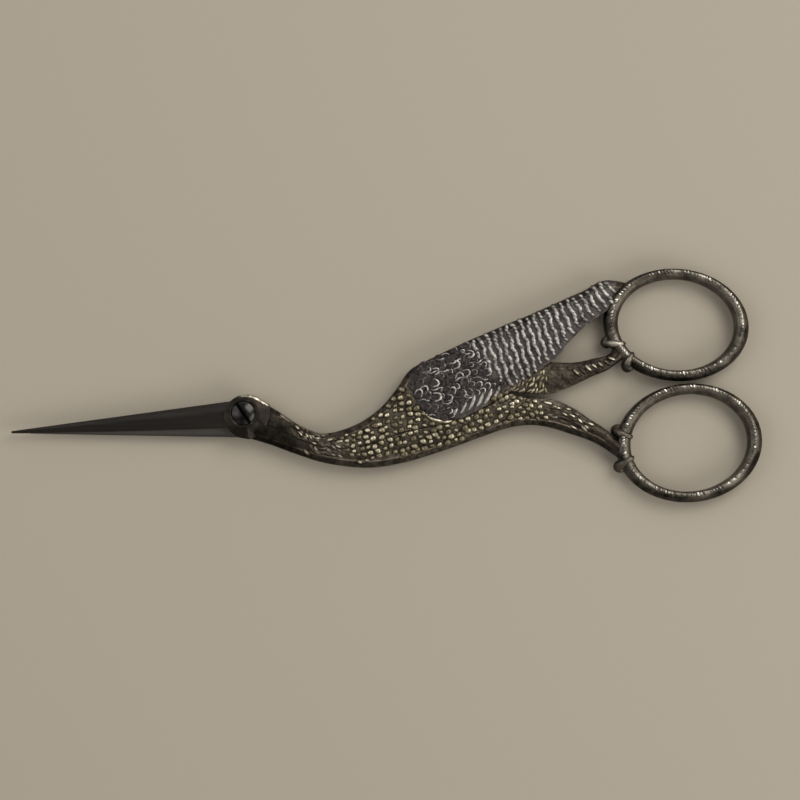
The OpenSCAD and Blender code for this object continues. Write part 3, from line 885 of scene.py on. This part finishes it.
def lay(name, seats, shape, finish, seed, size, jitter, edges=(), pitch=1.0, turn=0.0, tilt=0.0):
    """Lays a shape on every seat, or along the edges between seats, and keeps plain mesh.

    A seat is (point in mm, facing, lie, size). size is (length, width, rise) in mm, as pitch is,
    and jitter is (of the size, of the turn)."""
    mesh = bpy.data.meshes.new(name)
    mesh.from_pydata([tuple((s[0] + PIVOT) * MM) for s in seats], list(edges), [])
    for column, (label, kind, key) in enumerate(CARRIED, 1):
        made = mesh.attributes.new(label, kind, "POINT")
        made.data.foreach_set(key, np.array([s[column] for s in seats], np.float32).ravel())
    obj = new_object(mesh)
    step = obj.modifiers.new("laid", "NODES")
    step.node_group = ON_PATHS if edges else ON_POINTS
    values = {"Shape": shape, "Length": size[0] * MM, "Width": size[1] * MM, "Rise": size[2] * MM,
              "Pitch": pitch * MM, "Turn": turn, "Tilt": tilt, "Size jitter": jitter[0],
              "Turn jitter": jitter[1], "Seed": seed, "Finish": finish}
    for socket in step.node_group.interface.items_tree:
        if socket.name in values:
            step[socket.identifier] = values[socket.name]
    settle(obj)
    worn_flat(obj.data)
    for label, kind, key in CARRIED:
        obj.data.attributes.remove(obj.data.attributes[label])
    return obj


def unit_shape(name, rings):
    """Unit shape from rings of (points, worn), closed by a point above and one below."""
    points, faces = loft(np.array([p for p, worn in rings]))
    points[-1] += [0, 0, 0.04]
    worn = np.repeat([worn for p, worn in rings], len(rings[0][0]))
    return smooth_shape(closed_mesh(name, points, faces, [*worn, 0, 1]))


def smooth_shape(mesh):
    mesh.shade_smooth()
    return new_object(mesh)


def scale_shape():
    """A small feather of the neck and body: narrow at its root, round and raised at its end."""
    turn = around(12)
    x = np.cos(turn) * 0.5
    y = np.sin(turn) * 0.5 * (1 - 0.3 * (0.5 - x))
    steps = ((1.0, -0.6, 0.0, 0.0), (0.98, 0.05, 0.2, 0.0), (0.86, 0.35, 0.36, 0.2),
             (0.62, 0.6, 0.38, 0.6), (0.34, 0.74, 0.36, 1.0))
    return unit_shape("scale_shape", [
        (np.column_stack([x * grow + 0.06 * (1 - grow), y * grow, base + lift * (x * grow + 0.5)]),
         worn) for grow, base, lift, worn in steps])


def grain_shape():
    """One barb of a flight feather's rope-like rib, or one grain of a milled crest: a domed oval."""
    turn = around(10)
    x, y = np.cos(turn) * 0.5, np.sign(np.sin(turn)) * np.abs(np.sin(turn)) ** 0.8 * 0.5
    steps = ((1.0, -0.7, 0.0), (0.98, 0.1, 0.1), (0.78, 0.6, 0.5), (0.42, 0.92, 0.95))
    return unit_shape("grain_shape", [
        (np.column_stack([x * grow, y * grow, np.full(10, z)]), worn) for grow, z, worn in steps])


def covert_shape():
    """A covert: a rounded oval, hollow in the middle, with a thick rim round its free end."""
    n, under = 9, -0.7
    points, worn = [], []
    for x in np.linspace(-0.5, 0.5, n):
        half = 0.5 * math.sqrt(max(1 - (2 * x) ** 2, 0.0)) * (1 - 0.25 * (0.5 - x)) + 0.01
        for c in np.linspace(-1, 1, n):
            out = math.hypot(2 * x, c * 2 * half)
            rim = ramp((out - 0.5) / 0.3) * ramp((x + 0.35) / 0.4)
            shaft = ramp(1 - abs(c) / 0.3) * ramp((0.3 - x) / 0.3)
            high = 0.2 + 0.3 * (x + 0.5) + 0.5 * max(rim, 0.7 * shaft)
            points.append((x, c * half, high - 0.35 * ramp((out - 0.86) / 0.14)))
            worn.append(1.1 * rim * ramp((1.02 - out) / 0.1 + 0.6) + 0.35 * shaft)
    at = np.arange(n * n).reshape(n, n)
    faces = quads(at[:-1, :-1], at[:-1, 1:], at[1:, 1:], at[1:, :-1])
    rim = [*at[0], *at[1:, -1], *at[-1, -2::-1], *at[-2:0:-1, 0]]
    points += [(*points[k][:2], under) for k in rim] + [(0, 0, under)]
    foot = np.arange(n * n, n * n + len(rim))
    faces += quads(rim, np.roll(rim, -1), np.roll(foot, -1), foot)
    faces += [[a, b, n * n + len(rim)] for a, b in zip(foot, np.roll(foot, -1))]
    worn = [*np.clip(worn, 0, 1), *[0] * (len(rim) + 1)]
    return smooth_shape(closed_mesh("covert_shape", points, faces, worn))


SCALE, GRAIN, COVERT = scale_shape(), grain_shape(), covert_shape()


# Seats for the small feathers
def seat(skin, p, side, lie, size=1.0):
    """Place for a shape on a face: point, facing, lie and size, or None off the metal."""
    met = drop(skin, *p, side)
    return met and (*met, np.array([*lie, 0.0]), size)


def found(seats):
    """The seats that there are, without those off the metal."""
    return [s for s in seats if s]


def scale_seats(arm_of, span, side, pitch, keep=None, first=0.42, slant=0.0, rim=BEVEL + 0.1):
    """Staggered rows of seats that follow an arm's inner edge. pitch(u) is (along, across)."""
    skin, rows, inner = arm_of
    us = np.linspace(*span)
    seats = []
    chance = np.random.default_rng(len(rows) + side)
    table = curve(rows, us)
    low = np.array([inner(u, row) for u, row in zip(us, table)])
    out = table[:, :2] - low
    width = np.linalg.norm(out, axis=1)
    pitches = np.array([pitch(u) for u in us])
    for k in range(30):
        reach = pitches[:, 1] * (first + k)
        if (reach > width).all():
            break
        path = low + out * (reach / width)[:, None]
        step = np.linalg.norm(np.diff(path, axis=0), axis=1)
        arc = np.concatenate([[0], np.cumsum(step / ((pitches[1:, 0] + pitches[:-1, 0]) / 2))])
        for s in np.arange(0.5 * (k % 2), arc[-1]):
            u = np.interp(s, arc, us)
            if np.interp(u, us, reach) > np.interp(u, us, width) - rim:
                continue
            p, q = (np.array([np.interp(v, us, c) for c in path.T]) for v in (u, u + 0.05))
            along = math.atan2(*(q - p)[::-1]) + slant
            size = np.interp(u, us, pitches[:, 0])
            p = p + chance.uniform(-0.2, 0.2, 2) * size
            if not keep or keep(p):
                seats.append(seat(skin, p, side, heading(along), size))
    return found(seats)


def neck_pitch(u):
    return 0.9, mix(0.54, 0.7, ramp((u - 2) / 1.5))


def body_pitch(u):
    grown = ramp((u - 3) / 2) * (1 - 0.25 * ramp((u - 8.5) / 3))
    return mix(0.95, 1.15, grown), mix(0.78, 0.98, grown)


def off_wing(p):
    return on_wing_by(p) < -0.25


def paint_nape_highlight(mesh):
    """Paints a highlight along the nape's outer edge behind the head, as bright marks."""
    at = np.array([v.co[:] for v in mesh.vertices]) / MM - PIVOT
    rim = curve(far_rows, np.linspace(0, 4, 200))[:, :2]
    off = np.array([away_from(rim, q) for q in at[:, :2]])
    marks = mesh.attributes["worn"].data
    behind_head = (at[:, 0] > 3) & (at[:, 0] < 13)
    for v in np.flatnonzero((off < 0.42) & behind_head & (np.abs(at[:, 2]) > 0.3)):
        marks[v].value = 0.85


def ground_wing(mesh):
    """Gives the wing its own ground under the feathers."""
    mesh.materials.append(wing_ground)
    centres = np.array([f.center[:] for f in mesh.polygons]) / MM - PIVOT
    on_wing = (inside_by(WING, centres[:, :2]) > 0.05) & (np.abs(centres[:, 2]) > 0.5)
    mesh.polygons.foreach_set("material_index", on_wing.astype(np.int32))


paint_nape_highlight(far_body.data)
ground_wing(far_body.data)
# Skin, rows and inner edge of each arm
NEAR = (skin_of(near_body), near_rows, inner_edge)
FAR = (skin_of(far_body), far_rows, far_inner)
THIGH = (skin_of(thigh), leg_rows, inner_edge)
NECK_SLANT, THIGH_SLANT = math.radians(-16), math.radians(68)
NAPE_RIM, THIGH_RIM = 0.62, 0.7
# Length, width and rise of the feathers
BODY_SCALE, NECK_SCALE = (1.02, 0.9, 0.4), (1.5, 0.66, 0.24)
THIGH_SCALE, STREAK = (1.9, 0.8, 0.4), (1.2, 0.4, 0.13)


def scales(name, arm_of, span, pitch, finish, size, seed, turn=0.6, **how):
    """A piece of small feathers over both faces of a stretch of an arm."""
    seats = [s for side in UP_DOWN for s in scale_seats(arm_of, span, side, pitch, **how)]
    return lay(name, seats, SCALE, finish, seed, size, (0.24, turn))


breast_scales = scales("breast_scales", NEAR, (3.45, 11.6, 400), body_pitch, bronze, BODY_SCALE, 3)
back_scales = scales("back_scales", FAR, (3.45, 10.6, 400), body_pitch, bronze, BODY_SCALE, 5,
                     keep=off_wing, rim=NAPE_RIM)
throat_scales = scales("throat_scales", NEAR, (2.1, 3.3, 100), neck_pitch, leg_bronze, NECK_SCALE,
                       4, slant=NECK_SLANT)
nape_scales = scales("nape_scales", FAR, (1.8, 3.3, 100), neck_pitch, leg_bronze, NECK_SCALE, 6,
                     slant=NECK_SLANT, rim=NAPE_RIM)
thigh_scales = scales("thigh_scales", THIGH, (0.4, 2.6, 100), lambda u: (0.62, 0.95),
                      thigh_bronze, THIGH_SCALE, 7, keep=off_wing, rim=THIGH_RIM, slant=THIGH_SLANT)
leg_streaks = scales("leg_streaks", NEAR, (11.8, 14.2, 100), lambda u: (1.5, 0.7), leg_bronze,
                     STREAK, 8, turn=0.2, first=1.1)


# The wing's feathers, which all face straight up or down
WING_TURN = 27
WING_AXIS = heading(math.radians(WING_TURN))
WING_ACROSS = np.array([-WING_AXIS[1], WING_AXIS[0]])
SHOULDER = np.array([28.0, 2.6])
COVERT_ALONG, COVERT_ACROSS, COVERT_RIM = 0.98, 1.12, 0.4
LONG_COVERTS = [(31.6, -0.9), (37.0, -0.2), (39.4, 3.2), (37.6, 4.0), (34.2, 2.0)]
BACK = curve(far_rows, np.linspace(6, 17, 240))[:, :2]
TAIL_EDGE = curve(far_rows, np.linspace(11, 17, 200))[:, 2:4]
TAIL_EDGE = TAIL_EDGE[TAIL_EDGE[:, 0] > 45.2]
# What the ribs leave free along the back, along the tail's lower edge and round the ring's middle
RIM_LEFT, TAIL_LEFT, RING_LEFT = 0.42, 0.66, 9.6
RIBS, FIRST_RIB, LAST_RIB = 23, np.array([33.9, 11.2]), np.array([56.2, 20.9])
# Foot and length of each quill
QUILLS = ((27.2, 6.1, 4.6), (31.0, 7.4, 2.6), (33.2, 9.3, 1.6), (28.6, 3.6, 2.2), (32.0, 4.9, 2.6),
          (35.0, 5.5, 2.4), (26.8, 1.9, 1.7), (30.2, 1.2, 2.0), (33.4, 2.6, 1.8), (29.4, 8.2, 1.5),
          (35.4, 7.7, 1.4), (28.0, -0.2, 1.5))
FANS, FIRST_FAN, LAST_FAN = 6, np.array([32.0, -0.5]), np.array([38.0, 2.0])
EDGE_TOP, EDGE_END = 0.4, 35.5


def flights_from(p):
    """How far a point lies behind the line where the flight feathers start, in mm."""
    return p[0] - np.interp(p[1], [-1, 4.3, 5.8, 7.4, 10.4, 14], [42, 40, 38.8, 36.8, 35.1, 34])


def upright(p, side, lie=(1, 0)):
    """Seat on the wing that faces straight up or down."""
    made = seat(FAR[0], p, side, lie)
    return made and (made[0], np.array([0, 0, float(side)]), *made[2:])


def covert_seats():
    """Staggered rows behind the wing's front edge that fan out from the shoulder."""
    chance = np.random.default_rng(29)
    seats = []
    for side in UP_DOWN:
        for k in range(-5, 17):
            for j in range(-10, 11):
                row = j + 0.5 * (k % 2)
                p = SHOULDER + WING_AXIS * (k * COVERT_ALONG) + WING_ACROSS * (row * COVERT_ACROSS)
                p = p + chance.uniform(-0.25, 0.25, 2)
                if (on_wing_by(p) > 0.3 and flights_from(p) < -0.25
                        and away_from(BACK, p) > COVERT_RIM
                        and inside_by(LONG_COVERTS, p[None])[0] < 0):
                    seats.append(upright(p, side, heading(math.radians(WING_TURN + 4 * row))))
    return found(seats)


def rib(k, side):
    """Seats of one flight feather's rib, from the back slanting down to the lower edge."""
    share = k / (RIBS - 1)
    top = mix(FIRST_RIB, LAST_RIB, share)
    down = heading(-math.radians(mix(72, 56, ramp((share - 0.45) / 0.5))))
    run = []
    for s in np.arange(0, 14, 0.16):
        wave = 0.13 * math.sin(s * 2.4 + 1.3 * k) + 0.06 * math.sin(s * 6.1 + 2.7 * k)
        p = top + down * s + [wave, 0]
        made = upright(p, side, down)
        clear = (away_from(BACK, p) > RIM_LEFT and away_from(TAIL_EDGE, p) > TAIL_LEFT
                 and math.dist(p, UPPER_RING[0]) > RING_LEFT)
        if made and clear and on_wing_by(p) > 0.1 and flights_from(p) > -0.2:
            run.append(made)
        elif len(run) > 3:
            break
    return run


def chained(runs):
    """Seats of all runs as one list, and the edges between those of each run."""
    seats, edges = [], []
    for run in runs:
        edges += [(i, i + 1) for i in range(len(seats), len(seats) + len(run) - 1)]
        seats += run
    return seats, edges


def ridge(line, width, rise):
    """Oval bead along seats, half sunk into the metal and thinner at both ends."""
    at, out = np.array([p[0] for p in line]), np.array([p[1] for p in line])
    across = unit(np.cross(out, unit(np.gradient(at, axis=0))))
    run = np.linspace(0, 1, len(line))
    thin = np.minimum(1, 0.35 + 2.5 * np.minimum(run, 1 - run))[:, None]
    turn = around(9)
    sections = np.array([at + thin * (across * math.cos(t) * width / 2
                                      + out * (math.sin(t) * rise)) for t in turn])
    points, faces = loft(sections.transpose(1, 0, 2))
    return points, faces, [*np.tile(np.maximum(np.sin(turn), 0), len(line)), 0, 0]


def ridges(name, lines, width, rise, finish):
    """One piece of metal from a bead along each line of seats."""
    mesh = mesh_of(name, *together(ridge(line, width, rise) for line in lines))
    worn_flat(mesh)
    return new_object(mesh, finish)


def on_both(tracks):
    """A line of seats along each track, on the wing's upper and lower face."""
    return [found(upright(p, side) for p in track) for side in UP_DOWN for track in tracks]


def quill(k, x, y, long):
    """Track of a waving quill that lies over the coverts."""
    lean = heading(math.radians(6 + 16 * math.sin(2.1 * k)))
    return [np.array([x, y]) + s * lean + [0, 0.14 * math.sin(3.3 * s + k)]
            for s in np.arange(0, long, 0.14)]


def long_covert(share):
    """Track of one covert of the fan over the wing's lower edge."""
    foot, lean = mix(FIRST_FAN, LAST_FAN, share), math.radians(mix(58, 47, share))
    return [foot + s * heading(lean + 0.1 * s) for s in np.linspace(0, 2.5, 14)]


wing_coverts = lay("wing_coverts", covert_seats(), COVERT, dark_silver, 11, (1.7, 1.2, 0.3),
                   (0.35, 1.0), tilt=-0.05)
ribs = [rib(k, side) for side in UP_DOWN for k in range(RIBS)]
ribs = [run for run in ribs if len(run) > 4]
flight_ribs = ridges("flight_ribs", ribs, 0.68, 0.32, rib_silver)
rib_seats, rib_edges = chained(ribs)
flight_barbs = lay("flight_barbs", rib_seats, GRAIN, silver, 13, (1.05, 0.66, 0.36), (0.24, 0.3),
                   rib_edges, pitch=0.62, turn=0.42)
quills = on_both([quill(k, *q) for k, q in enumerate(QUILLS)])
covert_quills = ridges("covert_quills", quills, 0.36, 0.42, quill_silver)
fans = on_both([long_covert(k / (FANS - 1)) for k in range(FANS)])
long_coverts = ridges("long_coverts", fans, 0.6, 0.26, rib_silver)
# Bead along the front and lower edge of the wing
track = curve(WING[:14], np.linspace(0, 13, 150))
track = track[(track[:, 1] < EDGE_TOP) & (track[:, 0] < EDGE_END)]
wing_edge = ridges("wing_edge", on_both([track]), 0.6, 0.3, edge_bronze)


# The milled crest of both finger rings, and the cross ribs of the upper leg
MILLED, CREST = 400, 1.44


def milling(name, ring):
    """Slanting grains along the crest of a finger ring, above and below."""
    seats, edges = [], []
    for side in UP_DOWN:
        base = len(seats)
        seats += [(np.array([*plan_of(ring, a, leaning(0.5, a)), side * CREST]),
                   np.array([0, 0, side]), np.array([1, 0, 0]), 1.0) for a in around(MILLED)]
        edges += [(base + i, base + (i + 1) % MILLED) for i in range(MILLED)]
    return lay(name, seats, GRAIN, milled_gunmetal, 17, (0.36, 0.66, 0.12), (0.5, 0.45), edges,
               pitch=0.5, turn=0.5)


lower_milling = milling("lower_ring_milling", LOWER_RING)
upper_milling = milling("upper_ring_milling", UPPER_RING)
rows = curve(leg_rows, np.linspace(4.1, 6.2, 24))
track = mix(rows[:, 2:4], rows[:, :2], 0.56)
runs = [found(seat(THIGH[0], p, side, (1, 0)) for p in track) for side in UP_DOWN]
rib_seats, rib_edges = chained(runs)
leg_ribs = lay("leg_ribs", rib_seats, GRAIN, leg_bronze, 19, (0.6, 1.75, 0.34), (0.15, 0.2),
               rib_edges, pitch=0.92, turn=0.5)
for tool in (SCALE, GRAIN, COVERT):
    bpy.data.objects.remove(tool)


# Every piece goes with its half
near_main = (near_blade, near_head, near_body, lower_ring)
far_main = (far_blade, far_head, far_body, thigh, upper_ring)
for obj in (*near_main, lower_toes, throat_scales, breast_scales, leg_streaks, lower_milling):
    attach(obj, "near_half")
for obj in (*far_main, upper_toes, nape_scales, back_scales, thigh_scales, wing_coverts,
            covert_quills, long_coverts, wing_edge, flight_ribs, flight_barbs, upper_milling,
            leg_ribs):
    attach(obj, "far_half")
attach(eye_screw, "far_half")
for obj in near_main:
    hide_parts("near_half")
for obj in far_main:
    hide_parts("far_half")
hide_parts("pivot_screw")
SHARP = math.radians(40)
for obj in (*near_main, *far_main, lower_toes, upper_toes, wing_edge, covert_quills, long_coverts,
            flight_ribs, eye_screw):
    obj.data.shade_smooth()
    obj.data.set_sharp_from_angle(angle=SHARP)


# Floor, light and camera
def floor():
    bm = bmesh.new()
    bmesh.ops.create_grid(bm, x_segments=1, y_segments=1, size=3)
    made, tree, shader, place = blank("pale_floor")
    feed(tree, shader, {"Base Color": (0.314, 0.278, 0.221, 1), "Roughness": 0.85,
                        "Specular IOR Level": 0.2})
    from_bmesh("floor", bm, made)


def lamp(name, at, size, power, colour):
    """A square lamp that shines at the origin."""
    data = bpy.data.lights.new(name, "AREA")
    data.shape, data.size, data.energy, data.color = "SQUARE", size, power, colour
    obj = bpy.data.objects.new(name, data)
    bpy.context.scene.collection.objects.link(obj)
    obj.location = at
    obj.rotation_euler = (-Vector(at)).to_track_quat("-Z", "Y").to_euler()


def room():
    """Plain room light with softly changing brightness, so that the metal has something to show."""
    world = bpy.data.worlds.new("room")
    world.use_nodes = True
    tree = world.node_tree
    place = tree.nodes.new("ShaderNodeTexCoord").outputs["Generated"]
    level = spread(tree, noise(tree, place, 1.7, 1.5), 0.12, 0.95, (0.36, 0.64),
                   interpolation_type="SMOOTHSTEP")
    feed(tree, tree.nodes["Background"], {"Color": (1, 0.99, 0.97, 1), "Strength": level})
    return world


floor()
WARM, COOL = (1, 0.98, 0.95), (0.95, 0.97, 1)
lamp("key", (0.24, 0.24, 0.46), 0.34, 2.1, WARM)
lamp("low_key", (0.4, -0.22, 0.36), 0.34, 1.35, WARM)
lamp("fill", (-0.4, 0.1, 0.42), 0.4, 0.8, COOL)
scene = bpy.context.scene
scene.world = room()
scene.view_settings.view_transform = "Standard"

# The photograph looks straight down: 800 pixels are 122.66 mm on the pivot's level
WIDTH, LENS, SENSOR = 122.66, 120, 36
CAMERA_X, CAMERA_Y = 0.00203, -0.00221
camera = bpy.data.objects.new("camera", bpy.data.cameras.new("camera"))
camera.data.lens, camera.data.sensor_width = LENS, SENSOR
camera.location = (CAMERA_X, CAMERA_Y, (PIVOT[2] + WIDTH * LENS / SENSOR) * MM)
scene.collection.objects.link(camera)
scene.camera = camera
